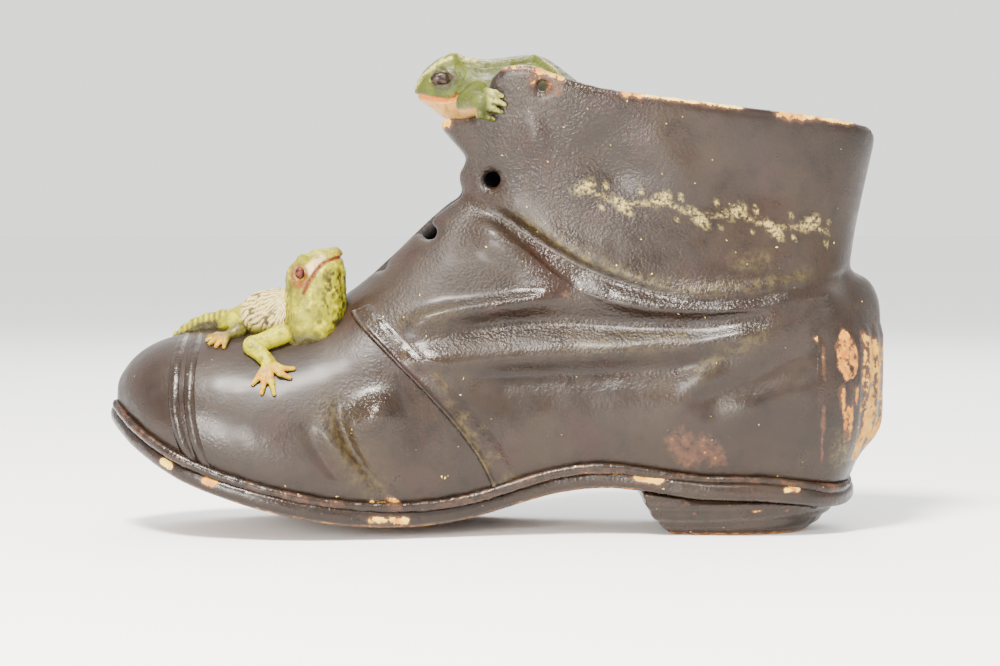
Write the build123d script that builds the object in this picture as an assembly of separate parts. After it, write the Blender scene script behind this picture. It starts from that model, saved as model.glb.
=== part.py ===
"""Cold-painted terracotta ankle boot, made as a small vase, with a frog climbing out of
the mouth and a lizard on the vamp.

The piece is built as a potter assembles it: two press-moulded half shells meet on the
plane y = 0 and stand on a sole slab with a heel block.  A welt coil, toe-cap rolls,
quarter straps and a back stay are luted over the joins.  The animals are modelled apart
and luted on last, limb by limb.

Frame: millimetres, +Z up, toe towards -X, the boot's left (inner) side towards -Y, and
the origin on the standing surface under the middle of the whole piece.
"""

from build123d import *
import os
from collections import namedtuple
from functools import lru_cache
from math import copysign, cos, pi, sin, sqrt

# ---- Driving dimensions, in millimetres -------------------------------------------
HALF_LENGTH = 113.0  # half the length of the boot's upper
WALL = 5.0  # pressed clay wall
SOLE_THICKNESS = 5.5
WELT_HEIGHT = 1.8
WELT_REACH = 1.9
RELIEF = 1.1  # height of straps and stays over the upper
ROLL_RELIEF = 1.5  # height of the two toe-cap rolls
ROLL_WIDTH = 2.2
STRAP_WIDTH = 10.0  # measured along the boot
STAY_FRONT = 96.0  # the stay wraps everything behind this
STAY_TOP = 64.0
HEEL_SEAT_Z = 14.0  # height where the heel's upper outline is drawn
GROOVE_HEIGHT = 0.9
GROOVE_DEPTH = 0.9
HEEL_GROOVES = (3.6, 7.0)  # heights of the scored lines round the heel
TONGUE_THICKNESS = 4.0
TONGUE_HALF_WIDTH = 13.0
LOWER_ROUNDNESS = 0.6
LOWER_REACH = 9.0  # how far the blank runs on below the sole line before it is cut off
HEEL_TURN = 100.0  # behind this the shell curls under and keeps its own lower edge
PROFILE_POINTS = 9  # points on each half of a cross-section
SHAFT_END = 0.85  # bluntness of the shaft's level rings at the front and back
SHAFT_SIDE = 0.8  # and at the sides
END_REACH = 0.7  # how far a rolled limb runs on past its end, as a share of its radius
END_SIZE = 0.55  # and how thick it still is there
MIDDLE_SIZE = 0.95  # thickness halfway along, as a share of the mean of its ends
REACH = 200.0  # larger than the whole piece, for cutters
LEFT, RIGHT = -1, 1

# One cross-section of the foot: where it is, its lowest and highest points, the half
# widths of the inner and outer side, the height of the widest place, and how round the
# shoulder is (1 is an ellipse, less is squarer).
Station = namedtuple("Station", "x low top inner outer widest shoulder")
FOOT = (
    Station(-113.0, 35.0, 45.0, 7.0, 3.5, 40.0, 0.85),
    Station(-110.0, 30.5, 49.5, 14.5, 10.0, 39.5, 0.85),
    Station(-104.5, 24.5, 54.5, 23.0, 17.5, 38.0, 0.85),
    Station(-95.0, 17.5, 58.0, 30.5, 25.5, 33.0, 0.90),
    Station(-79.0, 10.5, 60.5, 35.0, 33.0, 28.0, 0.95),
    Station(-58.0, 4.5, 63.0, 36.5, 37.5, 24.0, 1.05),
    Station(-42.0, 2.0, 73.0, 34.5, 38.0, 23.0, 1.10),
    Station(-22.0, 2.0, 93.0, 31.0, 36.5, 24.0, 1.10),
    Station(-4.0, 5.5, 104.0, 28.0, 34.0, 28.0, 1.05),
    Station(14.0, 11.0, 91.0, 26.5, 31.0, 34.0, 0.85),
    Station(34.0, 14.5, 78.0, 27.0, 29.5, 40.0, 0.65),
    Station(58.0, 12.5, 74.0, 28.5, 29.5, 43.0, 0.55),
    Station(82.0, 12.0, 74.5, 28.0, 28.5, 45.0, 0.55),
    Station(98.0, 13.0, 76.0, 23.5, 23.5, 46.0, 0.62),
    Station(107.0, 20.5, 76.5, 17.0, 17.0, 47.0, 0.72),
    Station(112.0, 27.5, 73.5, 10.5, 10.5, 48.5, 0.80),
    Station(114.5, 36.5, 62.0, 5.0, 5.0, 49.5, 0.90),
)
# Height of the sole's top along the middle line, from the raised toe to the heel seat.
SOLE_LINE = (
    (-125.0, 46.5),
    (-112.0, 35.0),
    (-104.0, 28.5),
    (-95.0, 22.5),
    (-79.0, 15.0),
    (-58.0, 9.3),
    (-42.0, 6.9),
    (-26.0, 6.6),
    (-4.0, 10.0),
    (14.0, 15.0),
    (34.0, 17.8),
    (58.0, 16.3),
    (82.0, 15.5),
    (125.0, 16.5),
)
# How much higher the sole lies on the inner side than on the middle line, per mm across.
SOLE_TWIST = (
    (-125.0, 0.0),
    (-112.0, 0.03),
    (-95.0, 0.06),
    (-79.0, 0.08),
    (-4.0, 0.08),
    (20.0, 0.11),
    (42.0, 0.06),
    (60.0, 0.0),
    (125.0, 0.0),
)

# One level ring of the shaft: its height, where it begins and ends, its half width.
Ring = namedtuple("Ring", "z front back half")
SHAFT = (
    Ring(56.0, 16.0, 99.0, 22.0),
    Ring(74.0, 4.0, 104.5, 26.5),
    Ring(88.0, -7.0, 106.5, 26.0),
    Ring(103.0, -13.0, 109.5, 27.0),
    Ring(121.0, -20.0, 113.0, 29.5),
    Ring(146.0, -24.0, 116.5, 33.0),
)

# The rim and the ragged front edge of the flaps, seen from the side as (x, z).
FRONT_EDGE = (
    (-13.0, 103.5),
    (-8.7, 110.5),
    (-14.5, 117.0),
    (-17.0, 120.0),
    (-16.0, 122.6),
    (-7.0, 122.4),
    (-3.5, 126.5),
    (-2.0, 133.5),
    (1.5, 137.0),
)
RIM = (
    (1.5, 137.0),
    (8.0, 137.6),
    (21.0, 133.4),
    (46.0, 128.6),
    (74.0, 125.0),
    (100.0, 121.8),
    (110.0, 119.8),
)

# Plan of the sole: (x, half width on the inner side, half width on the outer side).
SOLE_PLAN = (
    (-115.8, 2.0, 2.0),
    (-112.0, 12.5, 9.5),
    (-104.0, 23.0, 18.5),
    (-95.0, 30.5, 26.0),
    (-79.0, 36.0, 34.0),
    (-58.0, 37.4, 38.6),
    (-42.0, 35.0, 38.6),
    (-22.0, 30.0, 36.0),
    (-4.0, 25.5, 32.5),
    (14.0, 23.0, 29.5),
    (34.0, 24.5, 27.8),
    (58.0, 27.5, 28.2),
    (78.0, 27.5, 27.5),
    (93.0, 23.0, 23.0),
    (102.0, 15.5, 15.5),
    (107.0, 2.0, 2.0),
)
# Plan of the heel: (breast x, back x, half width), at its seat and on the ground.
HEEL_SEAT = (41.5, 105.5, 26.8)
HEEL_FOOT = (46.5, 97.0, 23.0)

# Middle lines of the applied strips, seen from the side as (x, z).
TOE_CAP_ROLLS = (
    ((-91.5, 66.0), (-93.2, 50.0), (-93.6, 40.0), (-91.0, 30.0), (-85.0, 17.0)),
    ((-87.0, 66.0), (-88.6, 50.0), (-89.0, 40.0), (-86.2, 28.0), (-81.0, 15.0)),
)
QUARTER_STRAP = (
    (-41.0, 70.0),
    (-36.0, 61.0),
    (-22.5, 46.0),
    (-13.3, 37.2),
    (-7.0, 28.0),
    (1.5, 12.0),
)
TONGUE_LINE = (
    (-48.0, 58.0),
    (-38.0, 67.0),
    (-26.0, 79.0),
    (-14.5, 92.0),
    (-9.0, 105.0),
    (-9.5, 118.5),
)

# The lacing gap in plan, as (x, half width).
GAP = ((-46.0, 0.0), (-40.0, 1.6), (-24.0, 4.0), (-6.0, 6.0), (12.0, 8.0))
GAP_FLOOR = 50.0

# Eyelets of the inner side as (x, z, radius), from the vamp to the rim.  Those of the
# outer side were pricked by eye and sit a little further back and lower.
EYELETS = ((-34.0, 78.5, 1.7), (-19.8, 88.6, 2.3), (-1.4, 104.2, 2.5), (13.2, 131.2, 2.0))
OUTER_EYELET_SHIFT = (1.5, -6.0)


# ---- Helpers ----------------------------------------------------------------------
def signed_power(value, exponent):
    return copysign(abs(value) ** exponent, value)


def between(table, x):
    """Straight-line value at x of a table of (x, value) pairs."""
    for (x0, v0), (x1, v1) in zip(table, table[1:]):
        if x <= x1:
            return v0 + (v1 - v0) * max(0.0, x - x0) / (x1 - x0)
    return table[-1][1]


def side_prism(edges):
    """A closed outline in the XZ plane, carried right across the piece."""
    face = Plane.XZ * make_face(edges)
    return extrude(face, REACH / 2, both=True)


def outline_edge(points):
    """Polyline through (x, z) points, in sketch coordinates."""
    return Polyline(*[(x, z) for x, z in points])


def clean_solid(shape):
    """The largest solid of a boolean's result, so that no crumb is kept."""
    return max(shape.solids(), key=lambda s: s.volume)


def without(shape, *others):
    for other in others:
        shape = shape - other
    return shape


# ---- The boot's blanks ------------------------------------------------------------
def foot_section(station, side, grow, below):
    """Half a cross-section of the foot on one side of y = 0, grown outwards by grow.  The
    inner blank passes below through the cut-off bottom, but stays above the curled heel."""
    half = max((station.inner if side == LEFT else station.outer) + grow, 1.5)
    top = max(station.top + grow, station.widest + 1.5)
    low = station.low - LOWER_REACH - below if station.x < HEEL_TURN else station.low + below
    x = station.x * (HALF_LENGTH + grow) / HALF_LENGTH
    points = []
    for i in range(PROFILE_POINTS):
        angle = -pi / 2 + pi * i / (PROFILE_POINTS - 1)
        rising = sin(angle) >= 0
        roundness = station.shoulder if rising else LOWER_ROUNDNESS
        on_seam = i in (0, PROFILE_POINTS - 1)
        y = 0.0 if on_seam else side * half * cos(angle) ** roundness
        rise = top - station.widest if rising else station.widest - low
        z = station.widest + rise * sin(angle)
        points.append(Vector(x, y, z))
    return make_face(Wire([Spline(*points), Line(points[-1], points[0])]))


@lru_cache(maxsize=None)
def foot_half(side, grow=0.0, below=0.0):
    return loft([foot_section(s, side, grow, below) for s in FOOT])


def shaft_section(ring, side, grow):
    """Half a level ring of the shaft, blunt at the front and round at the back."""
    middle = (ring.front + ring.back) / 2
    reach = (ring.back - ring.front) / 2 + grow
    half = ring.half + grow
    points = []
    for i in range(PROFILE_POINTS):
        angle = pi * i / (PROFILE_POINTS - 1)
        along = signed_power(cos(angle), SHAFT_END)
        on_seam = i in (0, PROFILE_POINTS - 1)
        across = 0.0 if on_seam else side * half * sin(angle) ** SHAFT_SIDE * (0.92 + 0.08 * along)
        points.append(Vector(middle + reach * along, across, ring.z))
    return make_face(Wire([Spline(*points), Line(points[-1], points[0])]))


def shaft_half(side, grow=0.0):
    return loft([shaft_section(r, side, grow) for r in SHAFT])


def ground_block(rise=0.0):
    """Everything below the top of the sole, raised or lowered as a whole by rise.  The
    top follows the sole line and leans across the waist."""
    half = 60.0
    sections = []
    for x, height in SOLE_LINE:
        level = height + rise
        lean = between(SOLE_TWIST, x) * half
        corners = [
            (x, -half, -40.0),
            (x, half, -40.0),
            (x, half, level - lean),
            (x, -half, level + lean),
        ]
        sections.append(make_face(Polyline(*corners, close=True)))
    return loft(sections)


def silhouette():
    """The boot's outline from the side: open below and at the toe, ragged at the flaps,
    hollow along the rim and rounded at the back of the rim."""
    edges = [
        Polyline(
            FRONT_EDGE[0],
            (-60.0, 100.0),
            (-140.0, 100.0),
            (-140.0, -60.0),
            (140.0, -60.0),
            (140.0, 105.0),
        ),
        Spline((140.0, 105.0), (116.0, 114.0), RIM[-1]),
        Spline(*RIM),
        outline_edge(FRONT_EDGE),
    ]
    return side_prism(edges)


def gap_cutter():
    """The lacing gap: a wedge from the throat to the mouth, as deep as the instep."""
    left = [(x, -half) for x, half in GAP]
    right = [(x, half) for x, half in reversed(GAP)]
    outline = make_face(Polyline(*left, *right[:-1], close=True))
    return Pos(0, 0, GAP_FLOOR) * extrude(outline, REACH)


def eyelet_cutter(side):
    holes = None
    back, up = OUTER_EYELET_SHIFT if side == RIGHT else (0.0, 0.0)
    for x, z, radius in EYELETS:
        axis = Plane(origin=(x + back, 0, z + up), z_dir=(0, side, 0))
        hole = extrude(axis * Circle(radius), 60.0)
        holes = hole if holes is None else holes + hole
    return holes


def upper_half(side, ground, profile, gap):
    """One press-moulded half shell, from the toe to the back seam."""
    outer = foot_half(side) + shaft_half(side)
    inner = foot_half(side, -WALL, WALL) + shaft_half(side, -WALL)
    shell = without(outer, inner, ground)
    return clean_solid(without(shell & profile, gap, eyelet_cutter(side)))


# ---- Sole, heel and the strips luted over the joins -------------------------------
def sole(ground):
    left = [(x, -inner) for x, inner, _ in SOLE_PLAN]
    right = [(x, outer) for x, _, outer in reversed(SOLE_PLAN)]
    plan = extrude(make_face(Spline(*left, *right, periodic=True)), REACH)
    slab = (ground & plan) - ground_block(-SOLE_THICKNESS)
    below_ground = Pos(0, 0, -REACH / 2) * Box(2 * REACH, REACH, REACH)
    return clean_solid(slab - below_ground)


def heel_outline(breast, back, half, inset=0.0):
    """A D in plan: straight breast, full sides and a round back."""
    breast, back, half = breast + inset, back - inset, half - inset
    corner = (breast, half * 0.93)
    curve = Spline(
        corner,
        (breast + 0.42 * (back - breast), half),
        (breast + 0.80 * (back - breast), half * 0.80),
        (back, 0.0),
        (breast + 0.80 * (back - breast), -half * 0.80),
        (breast + 0.42 * (back - breast), -half),
        (corner[0], -corner[1]),
    )
    return make_face([curve, Line((corner[0], -corner[1]), corner)])


def heel_blank(inset=0.0):
    seat = Pos(0, 0, HEEL_SEAT_Z) * heel_outline(*HEEL_SEAT, inset)
    return loft([heel_outline(*HEEL_FOOT, inset), seat])


def heel():
    """The heel block, scored round its sides to imitate stacked lifts."""
    block = heel_blank() & ground_block(-SOLE_THICKNESS)
    core = heel_blank(GROOVE_DEPTH)
    for height in HEEL_GROOVES:
        slab = Pos(75, 0, height) * Box(REACH, REACH, GROOVE_HEIGHT)
        block = block - (slab - core)
    return clean_solid(block)


def ribbon(points, width):
    """A strip as wide as width along the boot, following (x, z) points, cut through."""
    front = [(x - width / 2, z) for x, z in points]
    back = [(x + width / 2, z) for x, z in points]
    ends = Line(front[-1], back[-1]), Line(back[0], front[0])
    return side_prism([Spline(*front), ends[0], Spline(*back), ends[1]])


def strip_on_foot(side, relief, cutter, *taken):
    """A strip that hugs one side of the foot: a thin skin cut to the cutter's outline."""
    skin = (foot_half(side, relief) & cutter) - (foot_half(side) & cutter)
    return clean_solid(without(skin, *taken))


def welt(side, ground):
    skin = foot_half(side, WELT_REACH) & ground_block(WELT_HEIGHT)
    return clean_solid(without(skin, foot_half(side), ground))


def back_stay(raised):
    """The broad strip round the heel, in one piece across both halves."""
    upright = Pos(STAY_FRONT + REACH / 2, 0, STAY_TOP / 2) * Box(REACH, REACH, STAY_TOP)
    stays = [strip_on_foot(side, RELIEF, upright, raised) for side in (LEFT, RIGHT)]
    return clean_solid(stays[0] + stays[1])


def tongue(halves):
    front = list(TONGUE_LINE)
    back = [(x + TONGUE_THICKNESS, z - TONGUE_THICKNESS * 0.6) for x, z in TONGUE_LINE]
    edges = [Spline(*front), Line(front[-1], back[-1]), Spline(*back), Line(back[0], front[0])]
    slab = extrude(Plane.XZ * make_face(edges), TONGUE_HALF_WIDTH, both=True)
    return clean_solid(without(slab, *halves))


# ---- Modelling the animals --------------------------------------------------------
def on_boot(x, y, lift):
    """A point over the vamp at (x, y), lift above the surface of the upper."""
    side = LEFT if y < 0 else RIGHT
    rows = [(s.x, s) for s in FOOT]
    values = []
    for pick in ("inner" if side == LEFT else "outer", "top", "widest", "shoulder"):
        values.append(between([(sx, getattr(s, pick)) for sx, s in rows], x))
    half, top, widest, shoulder = values
    cosine = (min(abs(y), 0.97 * half) / half) ** (1 / shoulder)
    return (x, y, widest + (top - widest) * sqrt(1 - cosine * cosine) + lift)


def ball(centre, radius):
    return Pos(*centre) * Sphere(radius)


def segment(start, start_radius, end, end_radius):
    """A hand-rolled roll of clay from one point to another, rounded off past both ends."""
    axis = Vector(*end) - Vector(*start)
    plane = Plane(origin=start, z_dir=axis)
    rings = (
        (-END_REACH * start_radius, END_SIZE * start_radius),
        (0.0, start_radius),
        (axis.length / 2, MIDDLE_SIZE * (start_radius + end_radius) / 2),
        (axis.length, end_radius),
        (axis.length + END_REACH * end_radius, END_SIZE * end_radius),
    )
    return loft([plane.offset(along) * Circle(radius) for along, radius in rings])


def limb(*joints):
    """A limb through (point, radius) joints."""
    shape = None
    for (p, r), (q, s) in zip(joints, joints[1:]):
        roll = segment(p, r, q, s)
        shape = roll if shape is None else shape + roll
    return shape


def trunk(*rings):
    """A body lofted through (centre, half width, half height) rings, square to its path."""
    centres = [Vector(*centre) for centre, _, _ in rings]
    sections = []
    for i, (_, half_width, half_height) in enumerate(rings):
        path = centres[min(i + 1, len(rings) - 1)] - centres[max(i - 1, 0)]
        plane = Plane(origin=centres[i], x_dir=(0, 1, 0), z_dir=path)
        sections.append(plane * Ellipse(half_width, half_height))
    return loft(sections)


def with_digits(shape, palm, tips, root_radius, tip_radius):
    for tip in tips:
        shape = shape + segment(palm, root_radius, tip, tip_radius)
    return shape


# ---- The frog ---------------------------------------------------------------------
def frog_body():
    return trunk(
        ((-23.6, 0.0, 129.8), 3.2, 2.2),
        ((-21.0, 0.0, 130.6), 6.8, 5.0),
        ((-15.5, 0.0, 132.6), 9.6, 8.4),
        ((-9.5, 0.0, 131.8), 10.0, 8.8),
        ((-3.0, 0.0, 130.4), 10.2, 8.8),
        ((5.0, 0.0, 130.6), 11.4, 10.0),
        ((13.0, 0.0, 129.0), 11.6, 10.4),
        ((20.0, 0.0, 124.0), 9.6, 9.4),
        ((24.5, 0.0, 117.0), 6.0, 6.0),
    )


def on_shaft(x, z, side, lift):
    """A point beside the shaft at (x, z), lift outside the surface of the upper."""
    values = []
    for pick in ("front", "back", "half"):
        values.append(between([(ring.z, getattr(ring, pick)) for ring in SHAFT], z))
    front, back, half = values
    along = (2 * x - front - back) / (back - front)
    across = half * sqrt(1 - abs(along) ** (2 / SHAFT_END)) ** SHAFT_SIDE * (0.92 + 0.08 * along)
    return (x, side * (across + lift), z)


# Where the tips of the frog's fingers lie beside the flap, as (x, z), and how far off it.
FROG_FINGERS = ((0.6, 131.6), (1.8, 128.6), (1.6, 125.6), (-0.8, 122.6))
FINGER_LIFT = 2.1


def frog_foreleg(side):
    """Reaches round the flap's edge and lays four fingers on its outer face."""
    palm = on_shaft(-6.0, 126.4, side, 3.6)
    shoulder, elbow = (-6.5, side * 7.5, 128.0), (-10.8, side * 17.6, 126.4)
    leg = limb((shoulder, 3.8), (elbow, 2.7), (palm, 2.0))
    tips = [on_shaft(x, z, side, FINGER_LIFT) for x, z in FROG_FINGERS]
    return with_digits(leg, palm, tips, 1.3, 0.8)


def frog_hind_leg(side):
    """Folded against the body inside the mouth of the boot, clear of the flaps."""
    hip, knee = (20.0, side * 9.0, 125.0), (10.5, side * 12.6, 123.0)
    ankle, toes = (20.5, side * 13.0, 116.5), (12.0, side * 12.0, 112.5)
    return limb((hip, 4.4), (knee, 3.2), (ankle, 2.4), (toes, 1.7))


def frog_eyes():
    return [ball((-15.8, side * 8.4, 134.2), 3.0) for side in (LEFT, RIGHT)]


# ---- The lizard -------------------------------------------------------------------
def lizard_trunk():
    return trunk(
        ((-81.5, -4.0, 62.5), 3.6, 3.4),
        ((-76.5, -5.5, 64.2), 6.4, 5.8),
        ((-70.0, -7.5, 65.4), 8.0, 7.0),
        ((-63.0, -10.0, 65.4), 8.6, 7.8),
        ((-57.0, -12.0, 65.0), 8.4, 8.0),
    )


def lizard_head():
    """Chest, throat and head, reared up with the snout in the air."""
    throat = trunk(
        ((-54.6, -14.0, 56.0), 7.6, 7.6),
        ((-54.8, -14.0, 62.0), 8.8, 9.0),
        ((-54.8, -13.6, 68.5), 8.2, 8.4),
        ((-53.8, -13.0, 74.5), 6.9, 7.4),
        ((-50.6, -13.0, 79.4), 5.0, 5.4),
        ((-46.6, -13.0, 82.6), 2.8, 2.8),
    )
    return throat + ball((-54.6, -14.0, 60.5), 8.2)


def lizard_tail():
    """Tapers away over the toe cap and down its far side."""
    points = [on_boot(x, y, lift) for x, y, lift in (
        (-81.0, -4.0, 4.7),
        (-87.5, -1.5, 5.5),
        (-94.0, 2.5, 4.4),
        (-98.5, 6.5, 2.9),
        (-101.5, 11.0, 2.0),
    )]
    return limb(*zip(points, (3.4, 2.7, 2.1, 1.5, 1.0)))


# Shoulder or hip, elbow or knee, wrist and toe tips of each leg, as (x, y, lift).
LIZARD_LEGS = {
    "lizard_right_foreleg": (
        ((-61.0, -17.5, 4.2), (-73.0, -22.5, 4.2), (-67.6, -27.6, 3.8)),
        ((-70.6, -32.0, 2.3), (-67.8, -32.4, 2.3), (-65.2, -32.2, 2.3), (-61.4, -30.8, 2.3), (-60.4, -28.2, 2.3)),
    ),
    "lizard_left_foreleg": (
        ((-58.0, -5.0, 3.7), (-66.0, 4.5, 3.3), (-60.0, 11.5, 2.8)),
        ((-61.0, 17.0, 1.3), (-58.6, 17.2, 1.3), (-56.2, 16.0, 1.3), (-54.6, 14.0, 1.3), (-54.4, 11.6, 1.3)),
    ),
    "lizard_right_hind_leg": (
        ((-77.0, -9.0, 3.7), (-74.8, -17.5, 3.3), (-79.6, -17.0, 2.8)),
        ((-85.2, -15.2, 1.3), (-85.6, -17.4, 1.3), (-84.9, -19.6, 1.3), (-83.2, -21.4, 1.3), (-80.6, -21.6, 1.3)),
    ),
    "lizard_left_hind_leg": (
        ((-77.0, -1.0, 3.7), (-73.4, 7.5, 3.3), (-79.0, 11.0, 2.8)),
        ((-84.6, 9.4, 1.3), (-85.0, 11.8, 1.3), (-84.2, 14.2, 1.3), (-82.0, 15.8, 1.3), (-79.4, 16.2, 1.3)),
    ),
}
LIMB_RADII = (2.9, 2.4, 2.0)


def lizard_leg(joints, tips):
    points = [on_boot(*joint) for joint in joints]
    leg = limb(*zip(points, LIMB_RADII))
    return with_digits(leg, points[-1], [on_boot(*tip) for tip in tips], 1.1, 0.7)


def lizard_eyes():
    return [ball((-57.0, y, 75.4), 1.9) for y in (-18.0, -8.0)]


# ---- Putting it together ----------------------------------------------------------
def build():
    """Every node by name, each cut back so that it only touches those made before it."""
    nodes = {}
    ground = ground_block()
    profile = silhouette()
    gap = gap_cutter()
    ends = {"left": LEFT, "right": RIGHT}

    for word, side in ends.items():
        nodes[f"upper_{word}_half"] = upper_half(side, ground, profile, gap)
    halves = list(nodes.values())
    nodes["sole"] = sole(ground)
    nodes["heel_block"] = heel()
    for word, side in ends.items():
        nodes[f"welt_coil_{word}"] = welt(side, ground)
    raised = ground_block(WELT_HEIGHT)
    for word, line in zip(("front", "rear"), TOE_CAP_ROLLS):
        cutter = ribbon(line, ROLL_WIDTH)
        sides = [strip_on_foot(side, ROLL_RELIEF, cutter, raised) for side in ends.values()]
        nodes[f"toe_cap_{word}_roll"] = clean_solid(sides[0] + sides[1])
    strap = ribbon(QUARTER_STRAP, STRAP_WIDTH)
    for word, side in ends.items():
        nodes[f"quarter_strap_{word}"] = strip_on_foot(side, RELIEF, strap, raised, gap)
    nodes["back_stay"] = back_stay(raised)
    nodes["tongue"] = tongue(halves)

    boot = [foot_half(side) for side in ends.values()]
    body = clean_solid(without(frog_body(), *halves, nodes["tongue"]))
    eyes = frog_eyes()
    nodes["frog_body"] = clean_solid(without(body, *eyes))
    nodes["frog_eyes"] = Compound(eyes)
    for word, side in ends.items():
        # The frog faces the toe, so its left is the boot's left.
        nodes[f"frog_{word}_foreleg"] = clean_solid(frog_foreleg(side) - body)
        nodes[f"frog_{word}_hind_leg"] = clean_solid(frog_hind_leg(side) - body)

    lizard_trunk_solid = clean_solid(without(lizard_trunk(), *boot))
    throat = clean_solid(without(lizard_head(), *boot, lizard_trunk_solid, *halves))
    eyes = lizard_eyes()
    nodes["lizard_trunk"] = lizard_trunk_solid
    nodes["lizard_head"] = clean_solid(without(throat, *eyes))
    nodes["lizard_eyes"] = Compound(eyes)
    nodes["lizard_tail"] = clean_solid(lizard_tail() - lizard_trunk_solid)
    for name, (joints, tips) in LIZARD_LEGS.items():
        nodes[name] = clean_solid(without(lizard_leg(joints, tips), lizard_trunk_solid, throat))
    return nodes


def main():
    os.makedirs("parts", exist_ok=True)
    nodes = build()
    box = Compound([s for node in nodes.values() for s in node.solids()]).bounding_box()
    centre = box.center()
    for name, node in nodes.items():
        export_step(Pos(-centre.X, -centre.Y, 0) * node, f"parts/{name}.step")


main()
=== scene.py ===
"""Looks for the terracotta boot vase with a frog and a lizard.

Lengths in this file are millimetres in the shared frame unless a name says otherwise; meshes
are scaled to metres when they are made.  Clay is sculpted as signed distance fields on a
grid, meshed once, and then dented, scored and worn vertex by vertex.
"""
import itertools
import math
import bpy
import numpy as np
import openvdb
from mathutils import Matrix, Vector
from mathutils.bvhtree import BVHTree


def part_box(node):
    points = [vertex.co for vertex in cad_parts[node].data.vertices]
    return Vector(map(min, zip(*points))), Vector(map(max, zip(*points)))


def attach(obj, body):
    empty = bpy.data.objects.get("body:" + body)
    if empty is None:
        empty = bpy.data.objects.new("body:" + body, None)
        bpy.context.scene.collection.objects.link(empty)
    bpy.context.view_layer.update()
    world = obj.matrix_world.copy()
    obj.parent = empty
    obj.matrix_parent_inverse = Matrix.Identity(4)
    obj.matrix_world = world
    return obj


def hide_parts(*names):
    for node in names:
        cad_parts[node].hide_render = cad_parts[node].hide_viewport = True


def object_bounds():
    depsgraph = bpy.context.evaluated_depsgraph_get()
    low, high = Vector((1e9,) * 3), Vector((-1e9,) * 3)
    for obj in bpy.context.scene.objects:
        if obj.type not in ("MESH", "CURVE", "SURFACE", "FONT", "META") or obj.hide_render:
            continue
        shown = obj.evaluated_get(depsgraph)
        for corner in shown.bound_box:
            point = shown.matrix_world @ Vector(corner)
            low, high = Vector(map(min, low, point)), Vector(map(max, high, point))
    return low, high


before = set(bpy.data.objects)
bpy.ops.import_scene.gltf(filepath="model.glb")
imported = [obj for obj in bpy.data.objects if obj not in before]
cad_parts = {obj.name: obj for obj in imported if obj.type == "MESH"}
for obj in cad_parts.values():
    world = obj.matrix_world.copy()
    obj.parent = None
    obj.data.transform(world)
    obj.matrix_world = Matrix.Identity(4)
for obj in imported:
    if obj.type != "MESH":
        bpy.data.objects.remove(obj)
cad_low, cad_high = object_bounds()

MM = 0.001
SIDES = {"left": -1.0, "right": 1.0}  # along y
SEED = 11
GRID_MARGIN = 5  # empty voxels kept round a CAD solid


# ---- Small numeric helpers ----
def smooth(edge0, edge1, value):
    t = np.clip((value - edge0) / (edge1 - edge0), 0.0, 1.0)
    return t * t * (3.0 - 2.0 * t)


def most(*values):
    """The largest of several arrays at each point."""
    return np.maximum.reduce(values)


def bell(value, middle, width):
    """1 at middle and dying away to either side."""
    return np.exp(-(((value - middle) / width) ** 2))


def hash_noise(cells):
    """Repeatable random value in 0..1 for integer cells of shape (..., 3)."""
    c = cells.astype(np.int64)
    h = c[..., 0] * 374761393 + c[..., 1] * 668265263 + c[..., 2] * 2147483647 + SEED * 974711
    h = (h ^ (h >> 13)) * 1274126177
    h = h ^ (h >> 16)
    return (h & 0xFFFFF).astype(np.float64) / 0xFFFFF


def noise(points, scale, octaves=2):
    """Value noise from -1 to 1 whose largest lumps are scale mm wide."""
    total = np.zeros(len(points))
    weight = 0.0
    for octave in range(octaves):
        q = points / (scale / 2 ** octave) + 17.3 * octave
        base = np.floor(q)
        f = q - base
        f = f * f * (3 - 2 * f)
        value = 0.0
        for corner in itertools.product((0, 1), repeat=3):
            share = np.prod(np.where(corner, f, 1 - f), axis=1)
            value = value + share * hash_noise(base + np.array(corner))
        total += (value * 2 - 1) * 0.5 ** octave
        weight += 0.5 ** octave
    return total / weight


def line_distance(u, v, points):
    """Distance in a plane to a polyline, the share of the way along, and the side."""
    best = np.full(len(u), 1e9)
    along = np.zeros(len(u))
    side = np.zeros(len(u))
    lengths = [math.dist(p, q) for p, q in zip(points, points[1:])]
    run, total = 0.0, sum(lengths)
    for (p, q), length in zip(zip(points, points[1:]), lengths):
        du, dv = q[0] - p[0], q[1] - p[1]
        t = np.clip(((u - p[0]) * du + (v - p[1]) * dv) / length ** 2, 0, 1)
        ru, rv = u - (p[0] + t * du), v - (p[1] + t * dv)
        d = np.hypot(ru, rv)
        near = d < best
        best = np.where(near, d, best)
        along = np.where(near, (run + t * length) / total, along)
        side = np.where(near, np.sign(du * rv - dv * ru), side)
        run += length
    return best, along, side


# ---- Meshes ----
def make_mesh(name, points, quads):
    """A smooth-shaded object from points in mm and faces of four corners."""
    mesh = bpy.data.meshes.new(name)
    mesh.vertices.add(len(points))
    mesh.vertices.foreach_set("co", (points * MM).ravel())
    mesh.loops.add(quads.size)
    mesh.loops.foreach_set("vertex_index", quads.astype(np.int32).ravel())
    mesh.polygons.add(len(quads))
    mesh.polygons.foreach_set("loop_start", np.arange(0, quads.size, 4, dtype=np.int32))
    mesh.polygons.foreach_set("use_smooth", np.ones(len(quads), bool))
    mesh.update(calc_edges=True)
    mesh.validate()
    obj = bpy.data.objects.new(f"{name}_look", mesh)
    bpy.context.scene.collection.objects.link(obj)
    return obj


def triangles_of(quads):
    return np.vstack([quads[:, [0, 1, 2]], quads[:, [0, 2, 3]]])


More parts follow.
